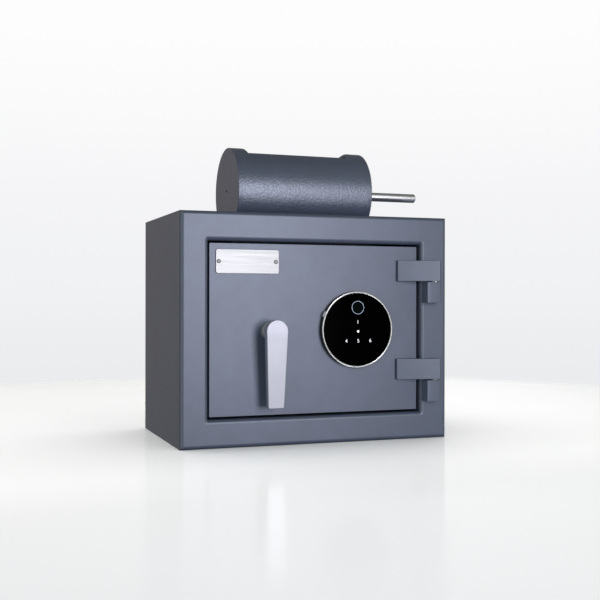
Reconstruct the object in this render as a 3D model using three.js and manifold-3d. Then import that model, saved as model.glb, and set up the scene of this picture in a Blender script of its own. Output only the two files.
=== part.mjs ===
// Drop safe with a rotary deposit hopper on top.
// Millimetres, +Z up. The safe's front face looks along -Y, its hinges are on the +X side.
// Inside the group `safe` every piece is drawn in body coordinates: X from the left side,
// Y from the front face of the frame (behind it is positive), Z from the bottom. The group
// is then shifted so that the origin is the centre of the bottom.
import * as THREE from 'three';
import { mergeVertices } from 'three/addons/utils/BufferGeometryUtils.js';
import Module from 'manifold-3d';

const wasm = await Module();
wasm.setup();

// ---------------------------------------------------------------- driving dimensions
const W = 322, D = 195, H = 260;          // body: width, depth, height
const T = 4;                              // body sheet thickness
const GAP = 0.3;                          // gap left between touching pieces
const FOLD_R = 4.5;                       // outer radius of the fold round the front face
// front frame: outer edge to the wall of the door opening, and the rounding of its lip
const FRAME_SIDE = [31.1, 4.4], FRAME_HINGE = [33.5, 3.7], FRAME_TOP = [32.2, 5], FRAME_LOW = [31.3, 4];
const LIP_D = 16;                         // depth of the return lip behind the front face

const DOOR_X0 = 33.8, DOOR_X1 = 286, DOOR_Z0 = 33.8, DOOR_Z1 = 225.5;
const DOOR_Y = 6.5, DOOR_T = 5;           // recess of the door face, thickness of the plate
const DOOR_B = DOOR_Y + DOOR_T;           // back of the door plate

const PIN_X = 303.2, PIN_Y = -6.8, PIN_R = 3;          // hinge axis
const STRAP_END_R = 6.1, STRAP_FRONT = -13;
const STRAP = { upper: [184.9, 208.9], lower: [70.1, 94.1] };
const KNUCKLE = { upper: [159.6, 183.8], lower: [44.6, 69.0] };

const LEVER_X = 104.2, LEVER_Z = 128.4;   // lever axis
const LEVER_FRONT = -20, LEVER_HEAD_R = 12.3, LEVER_TIP_Z = 43.3, LEVER_TIP_W = 18.2;

const KEY_X = 207.5, KEY_Z = 128.8, KEY_R = 43.7, KEY_FRONT = -1.5, GLASS_R = 41.5;
const SENSOR_Z = 154, SENSOR_R = 7.4;

const PLATE_X0 = 41, PLATE_X1 = 114, PLATE_Z0 = 192, PLATE_Z1 = 218.6;

const HOP_Y = 92, HOP_Z = 291.9, HOP_R = 51.3, HOP_T = 4;   // hopper axis, outer radius, wall
const HOP_X0 = 77.5, HOP_X1 = 243.9, HOP_DISC = 5;
const MOUTH_H = 42.9;                     // flat cut of the mouth above the axis
const DRUM_R = 46.5, DRUM_T = 3, DRUM_OPEN = 52;            // drum, half angle of its pocket
const ROD_R = 5.5, ROD_END = 325;

const THROW = 18;                         // travel of the bolts
const BOLT_R = 8, BOLT_Y = 27, BOLT_Z = { upper: 166, lower: 92 };
const BOLT_TIP = 38, BOLT_HEEL = 83.7;
const CRANK_R = THROW / 2 / Math.sin(Math.PI / 4);
const LATCH_X = 150;                      // latch of the electronic lock, travels 7 upwards
const CAR_Y0 = 17.5, CAR_Y1 = 21.5;       // carriage plate

// ---------------------------------------------------------------- helpers
// closed three.js geometry -> solid
function solid(geometry) {
  let g = geometry.clone();
  g.deleteAttribute('normal');
  if (g.attributes.uv) g.deleteAttribute('uv');
  g = mergeVertices(g, 1e-4);
  const p = g.attributes.position;
  const src = g.index.array;
  const tri = [];
  for (let i = 0; i < src.length; i += 3) {
    if (src[i] !== src[i + 1] && src[i + 1] !== src[i + 2] && src[i] !== src[i + 2]) tri.push(src[i], src[i + 1], src[i + 2]);
  }
  const a = new THREE.Vector3(), b = new THREE.Vector3(), c = new THREE.Vector3();
  let vol = 0;
  for (let i = 0; i < tri.length; i += 3) {
    a.fromBufferAttribute(p, tri[i]); b.fromBufferAttribute(p, tri[i + 1]); c.fromBufferAttribute(p, tri[i + 2]);
    vol += a.dot(b.cross(c));
  }
  if (vol < 0) for (let i = 0; i < tri.length; i += 3) [tri[i + 1], tri[i + 2]] = [tri[i + 2], tri[i + 1]];
  return new wasm.Manifold(new wasm.Mesh({
    numProp: 3, vertProperties: new Float32Array(p.array), triVerts: new Uint32Array(tri),
  }));
}

function geometryOf(manifold) {
  const m = manifold.getMesh();
  const g = new THREE.BufferGeometry();
  const pos = new Float32Array(m.numVert * 3);
  for (let i = 0; i < m.numVert; i++) {
    for (let k = 0; k < 3; k++) pos[i * 3 + k] = m.vertProperties[i * m.numProp + k];
  }
  g.setAttribute('position', new THREE.BufferAttribute(pos, 3));
  g.setIndex(new THREE.BufferAttribute(new Uint32Array(m.triVerts), 1));
  g.computeVertexNormals();
  return g;
}

function box(x0, x1, y0, y1, z0, z1) {
  const g = new THREE.BoxGeometry(x1 - x0, y1 - y0, z1 - z0);
  g.translate((x0 + x1) / 2, (y0 + y1) / 2, (z0 + z1) / 2);
  return solid(g);
}

const shapeOf = (pts) => new THREE.Shape(pts.map(([u, v]) => new THREE.Vector2(u, v)));

function prismZ(pts, z0, z1) {            // outline in X,Y
  const g = new THREE.ExtrudeGeometry(shapeOf(pts), { depth: z1 - z0, bevelEnabled: false, curveSegments: 1 });
  g.translate(0, 0, z0);
  return solid(g);
}
function prismX(pts, x0, x1) {            // outline in Y,Z
  const g = new THREE.ExtrudeGeometry(shapeOf(pts), { depth: x1 - x0, bevelEnabled: false, curveSegments: 1 });
  g.applyMatrix4(new THREE.Matrix4().set(0, 0, 1, x0, 1, 0, 0, 0, 0, 1, 0, 0, 0, 0, 0, 1));
  return solid(g);
}
function prismY(pts, y0, y1) {            // outline in X,Z
  const g = new THREE.ExtrudeGeometry(shapeOf(pts), { depth: y1 - y0, bevelEnabled: false, curveSegments: 1 });
  g.applyMatrix4(new THREE.Matrix4().set(1, 0, 0, 0, 0, 0, -1, y1, 0, 1, 0, 0, 0, 0, 0, 1));
  return solid(g);
}

// arc points from angle a0 to a1 (degrees) about (cx, cy)
function arc(cx, cy, r, a0, a1, n) {
  const out = [];
  for (let i = 0; i <= n; i++) {
    const a = (a0 + (a1 - a0) * i / n) * Math.PI / 180;
    out.push([cx + r * Math.cos(a), cy + r * Math.sin(a)]);
  }
  return out;
}
const roundRect = (u0, u1, v0, v1, r, n = 4) => [
  ...arc(u1 - r, v0 + r, r, -90, 0, n), ...arc(u1 - r, v1 - r, r, 0, 90, n),
  ...arc(u0 + r, v1 - r, r, 90, 180, n), ...arc(u0 + r, v0 + r, r, 180, 270, n),
];

// turned piece: profile [radius, place along the axis]
function turned(profile, axis, cx, cy, cz, n = 32) {
  const g = new THREE.LatheGeometry(profile.map(([r, h]) => new THREE.Vector2(r, h)), n);
  if (axis === 'x') g.rotateZ(-Math.PI / 2);
  if (axis === 'z') g.rotateX(Math.PI / 2);
  g.translate(cx, cy, cz);
  return solid(g);
}
const rod = (axis, r, h0, h1, cx, cy, cz, n = 32) => turned([[0, h0], [r, h0], [r, h1], [0, h1]], axis, cx, cy, cz, n);

// ---------------------------------------------------------------- finishes
const finish = (color, roughness, metalness) => new THREE.MeshStandardMaterial({ color, roughness, metalness });
const PAINT = finish(0x757b8a, 0.5, 0.15);
const PAINT_IN = finish(0x5c6069, 0.6, 0.1);
const SATIN = finish(0xd6d8e2, 0.35, 0.7);
const STEEL = finish(0xb8bcc6, 0.25, 1.0);
const ZINC = finish(0xa9adb3, 0.4, 0.9);
const BRASS = finish(0xb39653, 0.35, 0.9);
const GLASS = finish(0x050507, 0.08, 0.0);
const PLASTIC = finish(0x1a1b1e, 0.5, 0.0);
const PLATE = finish(0xe6e9ec, 0.3, 0.8);

const safe = new THREE.Group();
safe.position.set(-W / 2, -D / 2, 0);

function add(name, manifold, material, parent = safe) {
  const mesh = new THREE.Mesh(geometryOf(manifold), material.clone());
  mesh.name = name;
  parent.add(mesh);
  return mesh;
}

// ---------------------------------------------------------------- body shell
// One profile, read from the outer side inwards, folds round all four sides: wall, fold,
// front flange, rounded lip and its return into the opening.
// folded outer form: rounded along the four front edges
const shell = prismZ([
  ...arc(FOLD_R, FOLD_R, FOLD_R, 180, 270, 5), ...arc(W - FOLD_R, FOLD_R, FOLD_R, 270, 360, 5), [W, D], [0, D],
], 0, H).intersect(prismX([
  ...arc(FOLD_R, FOLD_R, FOLD_R, 180, 270, 5), [D, 0], [D, H], ...arc(FOLD_R, H - FOLD_R, FOLD_R, 90, 180, 5),
], 0, W));
// door opening, flaring out over the rounded lip
const [fl, rl] = FRAME_SIDE, [fh, rh] = FRAME_HINGE, [ft, rt] = FRAME_TOP, [fb, rb] = FRAME_LOW;
const opening = prismZ([
  [fl - rl, -1], ...arc(fl - rl, rl, rl, 270, 360, 6), [fl, LIP_D + 1],
  [W - fh, LIP_D + 1], ...arc(W - fh + rh, rh, rh, 180, 270, 6), [W - fh + rh, -1],
].reverse(), 0, H).intersect(prismX([
  [-1, fb - rb], ...arc(rb, fb - rb, rb, 180, 90, 6), [LIP_D + 1, fb],
  [LIP_D + 1, H - ft], ...arc(rt, H - ft + rt, rt, 270, 180, 6), [-1, H - ft + rt],
], 0, W));
const cutHalf = Math.sqrt(HOP_R ** 2 - (HOP_Z - H) ** 2) + GAP;
let casing = shell.subtract(box(T, W - T, T, D + 1, T, H - T))
  .add(box(fl - T, W - fh + T, T - 1, LIP_D, fb - T, H - ft + T))
  .subtract(opening)
  .subtract(box(HOP_X0 - GAP, HOP_X1 + GAP, HOP_Y - cutHalf, HOP_Y + cutHalf, H - T - 1, H + 1));
for (const x of [71, 251]) casing = casing.subtract(rod('z', 5, -1, T + 1, x, D / 2 + 20, 0, 20));
add('casing', casing, PAINT);

let back = box(T + GAP, W - T - GAP, D - T, D, T + GAP, H - T - GAP);
for (const x of [71, 251]) back = back.subtract(rod('y', 5, -T - 1, 1, x, D, 190, 20));
add('back_plate', back, PAINT);

// ---------------------------------------------------------------- hinges
const knuckleOutline = [
  [289.2, -GAP], ...arc(291.7, -12.0, 0.8, 184, 262, 3), [295, -13], ...arc(306.7, -10.5, 2.5, 270, 360, 4), [309.2, -GAP],
];
const strapOutline = [
  [259.6, 2.3], [259.8, 1.8],
  ...arc(306.8, STRAP_FRONT + 2.5, 2.5, 255, 360, 5),
  ...arc(PIN_X, PIN_Y, STRAP_END_R, 0, 90, 6),
  [290.2, PIN_Y + STRAP_END_R], [284.4, DOOR_Y - GAP], [259.6, DOOR_Y - GAP],
];
for (const s of ['upper', 'lower']) {
  const [k0, k1] = KNUCKLE[s], [s0, s1] = STRAP[s];
  const pinBottom = k0 + 2, pinTop = s1 - 3;
  const shift = s === 'lower' ? -1.0 : 0;
  const outline = strapOutline.map(([x, y]) => [x < 260 ? x + shift : x, y]);
  add(`hinge_knuckle_${s}`, prismZ(knuckleOutline, k0, k1)
    .subtract(rod('z', PIN_R + GAP, pinBottom - GAP, k1 + 1, PIN_X, PIN_Y, 0, 28)), PAINT);
  add(`hinge_strap_${s}`, prismZ(outline, s0, s1)
    .subtract(rod('z', PIN_R + GAP, s0 - 1, pinTop + GAP, PIN_X, PIN_Y, 0, 28)), PAINT);
  add(`hinge_pin_${s}`, turned([[0, pinBottom], [PIN_R, pinBottom], [PIN_R, pinTop - 0.8], [PIN_R - 0.8, pinTop], [0, pinTop]],
    'z', PIN_X, PIN_Y, 0, 24), STEEL);
  add(`hinge_washer_${s}`, turned([[PIN_R + GAP, k1 + GAP], [6, k1 + GAP], [6, s0 - GAP], [PIN_R + GAP, s0 - GAP], [PIN_R + GAP, k1 + GAP]],
    'z', PIN_X, PIN_Y, 0, 28), STEEL);
}

// ---------------------------------------------------------------- hopper on the top
const mouth = prismY([
  [HOP_X0 + 18.2, HOP_Z + MOUTH_H], [HOP_X1 - 19.4, HOP_Z + MOUTH_H],
  [HOP_X1 - 15.2, HOP_Z + 54], [HOP_X0 + 15.9, HOP_Z + 54],
], HOP_Y - 60, HOP_Y + 60);
const tube = turned([
  [HOP_R - HOP_T, HOP_X0 + HOP_DISC + GAP], [HOP_R, HOP_X0 + HOP_DISC + GAP],
  [HOP_R, HOP_X1 - HOP_DISC - GAP], [HOP_R - HOP_T, HOP_X1 - HOP_DISC - GAP],
  [HOP_R - HOP_T, HOP_X0 + HOP_DISC + GAP],
], 'x', 0, HOP_Y, HOP_Z, 60);
add('hopper_housing', tube.subtract(mouth)
  .subtract(box(102, 218, HOP_Y - 26, HOP_Y + 26, HOP_Z - 60, HOP_Z - 37)), PAINT);

const disc = (x0) => turned([[0, x0], [HOP_R, x0], [HOP_R, x0 + HOP_DISC], [0, x0 + HOP_DISC]], 'x', 0, HOP_Y, HOP_Z, 60);
add('hopper_end_left', disc(HOP_X0)
  .subtract(rod('x', 1.9, HOP_X0 - 1, HOP_X0 + HOP_DISC + 1, 0, HOP_Y, HOP_Z, 16))
  .subtract(rod('x', 4.3, HOP_X0 + 1.8, HOP_X0 + HOP_DISC + 1, 0, HOP_Y, HOP_Z, 28)), PAINT);
add('hopper_end_right', disc(HOP_X1 - HOP_DISC)
  .subtract(rod('x', 8.3, HOP_X1 - HOP_DISC - 1, HOP_X1 + 1, 0, HOP_Y, HOP_Z, 28)), PAINT);
add('rod_bush', turned([
  [ROD_R + GAP, HOP_X1 - HOP_DISC - 1], [9.6, HOP_X1 - HOP_DISC - 1], [9.6, HOP_X1 - HOP_DISC - GAP],
  [8, HOP_X1 - HOP_DISC - GAP], [8, HOP_X1], [ROD_R + GAP, HOP_X1], [ROD_R + GAP, HOP_X1 - HOP_DISC - 1],
], 'x', 0, HOP_Y, HOP_Z, 28), BRASS);

// drum that carries the deposit from the mouth down into the safe
const wedge = [[HOP_Y, HOP_Z], ...arc(HOP_Y, HOP_Z, 80, 90 - DRUM_OPEN, 90 + DRUM_OPEN, 4)];
const drumX0 = 84.3, drumX1 = 237.1;
add('drum_shell', turned([
  [DRUM_R - DRUM_T, drumX0 + 3 + GAP], [DRUM_R, drumX0 + 3 + GAP], [DRUM_R, drumX1 - 3 - GAP],
  [DRUM_R - DRUM_T, drumX1 - 3 - GAP], [DRUM_R - DRUM_T, drumX0 + 3 + GAP],
], 'x', 0, HOP_Y, HOP_Z, 60).subtract(prismX(wedge, drumX0 - 5, drumX1 + 5)), ZINC);
add('drum_end_left', turned([
  [0, HOP_X0 + 2.2], [4, HOP_X0 + 2.2], [4, drumX0], [DRUM_R, drumX0], [DRUM_R, drumX0 + 3], [0, drumX0 + 3],
], 'x', 0, HOP_Y, HOP_Z, 48), ZINC);
add('drum_end_right', turned([
  [ROD_R + GAP, drumX1 - 3], [DRUM_R, drumX1 - 3], [DRUM_R, drumX1], [ROD_R + GAP, drumX1], [ROD_R + GAP, drumX1 - 3],
], 'x', 0, HOP_Y, HOP_Z, 48), ZINC);
add('drum_rod', turned([
  [0, drumX1 - 6.3], [8, drumX1 - 6.3], [8, drumX1 - 3 - GAP], [ROD_R, drumX1 - 3 - GAP],
  [ROD_R, ROD_END - 1], [ROD_R - 1, ROD_END], [0, ROD_END],
], 'x', 0, HOP_Y, HOP_Z, 32), STEEL);

// chute under the hopper and the plate that stops anyone reaching back up through it
const chute = box(72, 248, 51.5, 132.5, 204, H - T - GAP).subtract(box(74, 246, 53.5, 130.5, 203, H - T + 1));
add('drop_chute', chute, PAINT_IN);
add('baffle_plate', prismX([[54, 232], [55.4, 233.4], [99.4, 208.4], [98, 207]], 74.5, 245.5), PAINT_IN);

// ---------------------------------------------------------------- door
let door = prismY(roundRect(DOOR_X0, DOOR_X1, DOOR_Z0, DOOR_Z1, 1.2, 3), DOOR_Y, DOOR_B);
door = door.subtract(rod('y', 5.5, DOOR_Y - 1, DOOR_B + 1, LEVER_X, 0, LEVER_Z, 24))
  .subtract(rod('y', 6.5, DOOR_Y - 1, DOOR_B + 1, KEY_X, 0, KEY_Z, 24));
const rivets = { left: [PLATE_X0 + 3.3, 205.3], right: [PLATE_X1 - 3.6, 205.3] };
for (const [x, z] of Object.values(rivets)) door = door.subtract(rod('y', 1.6, DOOR_Y - 1, DOOR_B + 1, x, 0, z, 16));
add('door_plate', door, PAINT);

let plate = prismY(roundRect(PLATE_X0, PLATE_X1, PLATE_Z0, PLATE_Z1, 2.5, 4), DOOR_Y - GAP - 1.2, DOOR_Y - GAP);
for (const [x, z] of Object.values(rivets)) plate = plate.subtract(rod('y', 1.6, -2, DOOR_Y, x, 0, z, 16));
add('nameplate', plate, PLATE);
const faceY = DOOR_Y - GAP - 1.2;
for (const [s, [x, z]] of Object.entries(rivets)) {
  add(`plate_rivet_${s}`, turned([
    [0, faceY - 1.3], [1.3, faceY - 1.15], [2.2, faceY - 0.7], [2.4, faceY - GAP], [1.3, faceY - GAP], [1.3, DOOR_Y + 3], [0, DOOR_Y + 3],
  ], 'y', x, 0, z, 20), STEEL);
}

// keypad: black dish with a flat back, silver ring on its rim, round glass and the fingerprint window in it
const keyBack = DOOR_Y - GAP, ringBack = KEY_FRONT + 1.4;
const dish = turned([
  [0, keyBack], [KEY_R - 0.1, keyBack], [KEY_R - 0.1, ringBack + GAP],
  [GLASS_R + GAP, ringBack + GAP], [GLASS_R + GAP, KEY_FRONT + 3], [0, KEY_FRONT + 3],
], 'y', KEY_X, 0, KEY_Z, 64);
add('keypad_case', dish.subtract(rod('y', 5, KEY_FRONT, DOOR_Y + 1, KEY_X, 0, KEY_Z, 20)), PLASTIC);
add('keypad_bezel', turned([
  [GLASS_R + GAP, ringBack], [GLASS_R + GAP, KEY_FRONT + 0.3], [GLASS_R + 0.7, KEY_FRONT + 0.05], [KEY_R - 0.9, KEY_FRONT + 0.1],
  [KEY_R - 0.2, KEY_FRONT + 0.5], [KEY_R, KEY_FRONT + 1], [KEY_R, ringBack], [GLASS_R + GAP, ringBack],
], 'y', KEY_X, 0, KEY_Z, 64), SATIN);
add('keypad_glass', turned([
  [0, KEY_FRONT], [GLASS_R - 0.5, KEY_FRONT], [GLASS_R, KEY_FRONT + 0.5], [GLASS_R, KEY_FRONT + 2.7], [0, KEY_FRONT + 2.7],
], 'y', KEY_X, 0, KEY_Z, 64).subtract(rod('y', SENSOR_R + GAP, KEY_FRONT - 1, KEY_FRONT + 3, KEY_X, 0, SENSOR_Z, 32)), GLASS);
add('fingerprint_window', rod('y', SENSOR_R, KEY_FRONT + 0.1, KEY_FRONT + 2.7, KEY_X, 0, SENSOR_Z, 32), GLASS);
{
  // cover of the emergency power contacts, on the rim of the bezel
  const cap = new THREE.Group();
  const a = 156 * Math.PI / 180;
  cap.position.set(KEY_X + (KEY_R + GAP) * Math.cos(a), 2.0, KEY_Z + (KEY_R + GAP) * Math.sin(a));
  cap.rotation.y = -a;
  safe.add(cap);
  add('power_port_cap', prismY([[-0.1, -3.6], [0.8, -3.2], [1.2, -2.2], [1.2, 2.2], [0.8, 3.2], [-0.1, 3.6]], -2.2, 2.2), SATIN, cap);
}

// ---------------------------------------------------------------- lever handle
add('lever_rose', turned([
  [5.4, -1.8], [10.2, -1.8], [11, -1.0], [11, DOOR_Y - GAP], [5.4, DOOR_Y - GAP], [5.4, -1.8],
], 'y', LEVER_X, 0, LEVER_Z, 36), SATIN);
{
  const half = LEVER_TIP_W / 2, tip = LEVER_TIP_Z - LEVER_Z;
  // outline seen from the front about the lever axis: round head, straight taper to the tip
  const lean = Math.asin((LEVER_HEAD_R - half) / -tip) * 180 / Math.PI;
  const outline = [
    ...arc(0, 0, LEVER_HEAD_R, -lean, 180 + lean, 14),
    [-half, tip + 1.5], [-half + 1.5, tip], [half - 1.5, tip], [half, tip + 1.5],
  ];
  const grip = prismY(outline, LEVER_FRONT, -8);
  // side view: flat front at the head, then tapering back towards the tip
  const side = prismX([
    [-20, 13], [-20, -6], [-16, tip - 1], [-8.3, tip - 1], [-11, -16], [-11, 13],
  ], -20, 20);
  const neck = rod('y', 10, -11.2, -2.2, 0, 0, 0, 36);
  const handle = grip.intersect(side).add(neck).subtract(rod('y', 5.3, -17.3, 0, 0, 0, 0, 24));
  const lever = new THREE.Group();
  lever.position.set(LEVER_X, 0, LEVER_Z);
  safe.add(lever);
  add('lever_handle', handle, SATIN, lever);
  add('lever_spindle', rod('y', 5, -17, 17, 0, 0, 0, 24), ZINC, lever);
  // crank behind the door; its pin starts right of and below the axis
  const c = CRANK_R / Math.SQRT2;
  const crank = rod('y', 9, 12.8, 17, 0, 0, 0, 28)
    .add(rod('y', 6.4, 12.8, 17, c, 0, -c, 24))
    .add(prismY([[-6.4, -6.4], [c - 4.5, -c - 4.5], [c + 4.5, -c + 4.5], [6.4, 6.4]], 12.8, 17))
    .subtract(rod('y', 5.3, 12, 18, 0, 0, 0, 24))
    .add(rod('y', 4, 16, 26, c, 0, -c, 24));
  add('lever_crank', crank, ZINC, lever);
}

// ---------------------------------------------------------------- bolt work on the door's back
{
  const slotX = LEVER_X + THROW / 2;
  let c = prismY([
    [88, 78], [128, 78], [128, 138],
    [145.6, 138], [145.6, 146.5], [154.4, 146.5], [154.4, 138], [163.6, 138], [163.6, 146.5], [172.4, 146.5], [172.4, 138],
    [188, 138], [188, 154], [128, 154], [128, 180], [88, 180],
  ], CAR_Y0, CAR_Y1);
  c = c.add(box(84, 88.5, CAR_Y0, 38, 78, 180));
  c = c.subtract(prismY(roundRect(slotX - 4.7, slotX + 4.7, LEVER_Z - CRANK_R - 5, LEVER_Z - THROW / 2 + 5, 4.6, 4), CAR_Y0 - 1, CAR_Y1 + 1));
  for (const z of [146, 98]) c = c.subtract(prismY(roundRect(98.9, 124.1, z - 3.4, z + 3.4, 3.3, 4), CAR_Y0 - 1, CAR_Y1 + 1));
  for (const z of Object.values(BOLT_Z)) c = c.subtract(rod('x', 4.3, 80, 92, 0, BOLT_Y, z, 24));
  add('bolt_carriage', c, ZINC);
  for (const [s, z] of Object.entries(BOLT_Z)) {
    add(`locking_bolt_${s}`, turned([
      [0, BOLT_TIP], [BOLT_R - 1.5, BOLT_TIP], [BOLT_R, BOLT_TIP + 1.5], [BOLT_R, BOLT_HEEL], [4, BOLT_HEEL], [4, 96], [0, 96],
    ], 'x', 0, BOLT_Y, z, 32), STEEL);
    const hex = arc(BOLT_Y, z, 6, 30, 330, 5);
    add(`bolt_nut_${s}`, prismX(hex, 88.8, 95).subtract(rod('x', 4.3, 88, 96, 0, BOLT_Y, z, 24)), ZINC);
    add(`bolt_guide_${s}`, box(52, 56, DOOR_B + GAP, 38, z - 13, z + 13).add(box(44, 54, DOOR_B + GAP, 15, z - 13, z + 13))
      .subtract(rod('x', BOLT_R + 0.4, 50, 58, 0, BOLT_Y, z, 32)), ZINC);
  }
  for (const [s, z] of [['upper', 146], ['lower', 98]]) {
    add(`carriage_guide_${s}`, turned([
      [0, DOOR_B + GAP], [5, DOOR_B + GAP], [5, CAR_Y0 - 0.4], [3, CAR_Y0 - 0.4], [3, CAR_Y1 + 0.4], [5.5, CAR_Y1 + 0.4],
      [5.5, CAR_Y1 + 2.6], [4.7, CAR_Y1 + 3.4], [0, CAR_Y1 + 3.4],
    ], 'y', 102.5, 0, z, 24), STEEL);
  }
}

// electronic lock: body with the latch that drops into the carriage
add('lock_body', box(136, 174, DOOR_B + GAP, 34, 100, 134)
  .subtract(box(LATCH_X - 4.4, LATCH_X + 4.4, 15.6, 23.4, 116, 135)), PLASTIC);
add('lock_latch', box(LATCH_X - 4, LATCH_X + 4, 16, 23, 119, 137.2), STEEL);
{
  const path = new THREE.CatmullRomCurve3([
    new THREE.Vector3(KEY_X, DOOR_B - 4, KEY_Z), new THREE.Vector3(KEY_X, 16, KEY_Z), new THREE.Vector3(KEY_X - 4, 21.5, KEY_Z - 3),
    new THREE.Vector3(196, 24, 122), new THREE.Vector3(184, 24, 117), new THREE.Vector3(174.4, 24, 116),
  ]);
  const ring = new THREE.Shape(arc(0, 0, 1.9, 0, 315, 7).map(([u, v]) => new THREE.Vector2(u, v)));
  add('keypad_cable', solid(new THREE.ExtrudeGeometry(ring, { steps: 16, extrudePath: path, bevelEnabled: false })), PLASTIC);
}

// fixed bar that hooks behind the frame on the hinge side
add('dead_bar', box(268, 273, DOOR_B + GAP, 27, 52, 208).add(box(268, 297, 21, 27, 52, 208)), ZINC);

// pressed cover over the bolt work, on four studs
const CX0 = 62, CX1 = 262, CZ0 = 50, CZ1 = 198, CY = 43.5;
const studs = [[78, 62], [250, 62], [250, 186], [78, 186]];
let cover = box(CX0, CX1, DOOR_B + GAP, CY, CZ0, CZ1)
  .subtract(box(CX0 + 1.5, CX1 - 1.5, DOOR_B - 1, CY - 1.5, CZ0 + 1.5, CZ1 - 1.5));
for (const z of Object.values(BOLT_Z)) cover = cover.subtract(rod('x', BOLT_R + 1, CX0 - 2, CX0 + 3, 0, BOLT_Y, z, 32));
for (const [x, z] of studs) cover = cover.subtract(rod('y', 3, CY - 3, CY + 1, x, 0, z, 20));
add('inner_cover', cover, PAINT_IN);
studs.forEach(([x, z], i) => {
  add(`cover_stud_${i + 1}`, rod('y', 2.5, DOOR_B + GAP, CY + 5.5, x, 0, z, 16), ZINC);
  add(`cover_nut_${i + 1}`, prismY(arc(x, z, 4.6, 0, 300, 5), CY + GAP, CY + 4.3)
    .subtract(rod('y', 2.8, CY - 1, CY + 6, x, 0, z, 16)), ZINC);
});

// battery box on the cover, reached from inside the safe
add('battery_box', box(150, 232, CY + GAP, 58, 76, 140).subtract(box(152, 230, CY + 2.3, 60, 78, 138)), PLASTIC);
add('battery_lid', prismY(roundRect(150, 232, 76, 140, 2.5, 3), 58 + GAP, 60.3)
  .add(box(183, 199, 60, 61.6, 128, 134)), PLASTIC);

export default safe;
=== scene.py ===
# Looks of the drop safe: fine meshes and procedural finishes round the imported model.
import bpy
import bmesh
import math
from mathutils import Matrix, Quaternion, Vector


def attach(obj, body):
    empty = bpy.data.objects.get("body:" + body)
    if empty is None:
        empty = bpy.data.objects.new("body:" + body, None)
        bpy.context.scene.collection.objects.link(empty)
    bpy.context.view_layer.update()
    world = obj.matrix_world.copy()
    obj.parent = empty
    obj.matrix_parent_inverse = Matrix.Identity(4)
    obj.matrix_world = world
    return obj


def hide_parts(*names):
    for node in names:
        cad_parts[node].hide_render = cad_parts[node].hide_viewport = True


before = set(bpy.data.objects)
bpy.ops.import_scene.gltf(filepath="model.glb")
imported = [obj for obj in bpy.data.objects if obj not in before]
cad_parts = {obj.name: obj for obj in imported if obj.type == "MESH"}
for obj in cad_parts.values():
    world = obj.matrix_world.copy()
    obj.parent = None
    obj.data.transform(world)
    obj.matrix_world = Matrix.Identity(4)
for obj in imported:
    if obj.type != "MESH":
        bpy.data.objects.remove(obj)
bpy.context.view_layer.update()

scene = bpy.context.scene
MM = 0.001


# ------------------------------------------------------------------ places
# Body coordinates in millimetres: X from the left side, Y from the front face, Z from the bottom.
W, D, H = 322.0, 195.0, 260.0


def P(x, y, z):
    return Vector(((x - W / 2) * MM, (y - D / 2) * MM, z * MM))


# ------------------------------------------------------------------ mesh helpers
def link(name, me):
    ob = bpy.data.objects.new(name, me)
    scene.collection.objects.link(ob)
    return ob


def clean(me, dist=1e-7):
    bm = bmesh.new()
    bm.from_mesh(me)
    bmesh.ops.remove_doubles(bm, verts=bm.verts, dist=dist)
    bmesh.ops.recalc_face_normals(bm, faces=bm.faces)
    bm.to_mesh(me)
    bm.free()


def mesh_from(name, verts, faces):
    me = bpy.data.meshes.new(name)
    me.from_pydata([tuple(v) for v in verts], [], faces)
    clean(me)
    return link(name, me)


def arc(cx, cy, r, a0, a1, n):
    out = []
    for i in range(n + 1):
        a = math.radians(a0 + (a1 - a0) * i / n)
        out.append((cx + r * math.cos(a), cy + r * math.sin(a)))
    return out


def round_rect(u0, u1, v0, v1, r, n=6):
    return (arc(u1 - r, v0 + r, r, -90, 0, n) + arc(u1 - r, v1 - r, r, 0, 90, n)
            + arc(u0 + r, v1 - r, r, 90, 180, n) + arc(u0 + r, v0 + r, r, 180, 270, n))


def prism(name, outline, axis, a, b):
    """Outline extruded from a to b along axis. Outline is (y,z), (x,z) or (x,y)."""
    def at(p, t):
        return {"x": P(t, p[0], p[1]), "y": P(p[0], t, p[1]), "z": P(p[0], p[1], t)}[axis]
    n = len(outline)
    verts = [at(p, a) for p in outline] + [at(p, b) for p in outline]
    faces = [list(range(n)), list(range(n, 2 * n))]
    faces += [[i, (i + 1) % n, n + (i + 1) % n, n + i] for i in range(n)]
    return mesh_from(name, verts, faces)


def box(name, x0, x1, y0, y1, z0, z1):
    return prism(name, [(x0, z0), (x1, z0), (x1, z1), (x0, z1)], "y", y0, y1)


def lathe(name, profile, axis, centre, n=128, closed=False):
    """Turned piece. profile is [(radius, place along the axis)], centre in the two other directions."""
    rings, verts = [], []
    for r, h in profile:
        if r < 1e-6:
            rings.append([len(verts)])
            verts.append(_turn(axis, centre, 0, 0, h))
        else:
            ring = []
            for k in range(n):
                a = 2 * math.pi * k / n
                ring.append(len(verts))
                verts.append(_turn(axis, centre, r * math.cos(a), r * math.sin(a), h))
            rings.append(ring)
    faces = []
    pairs = list(zip(rings[:-1], rings[1:]))
    if closed:
        pairs.append((rings[-1], rings[0]))
    for a, b in pairs:
        if len(a) == 1 and len(b) == 1:
            continue
        if len(a) == 1:
            faces += [[a[0], b[k], b[(k + 1) % n]] for k in range(n)]
        elif len(b) == 1:
            faces += [[b[0], a[k], a[(k + 1) % n]] for k in range(n)]
        else:
            faces += [[a[k], a[(k + 1) % n], b[(k + 1) % n], b[k]] for k in range(n)]
    return mesh_from(name, verts, faces)


def _turn(axis, c, u, v, h):
    if axis == "x":
        return P(h, c[0] + u, c[1] + v)
    if axis == "y":
        return P(c[0] + u, h, c[1] + v)
    return P(c[0] + u, c[1] + v, h)


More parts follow.
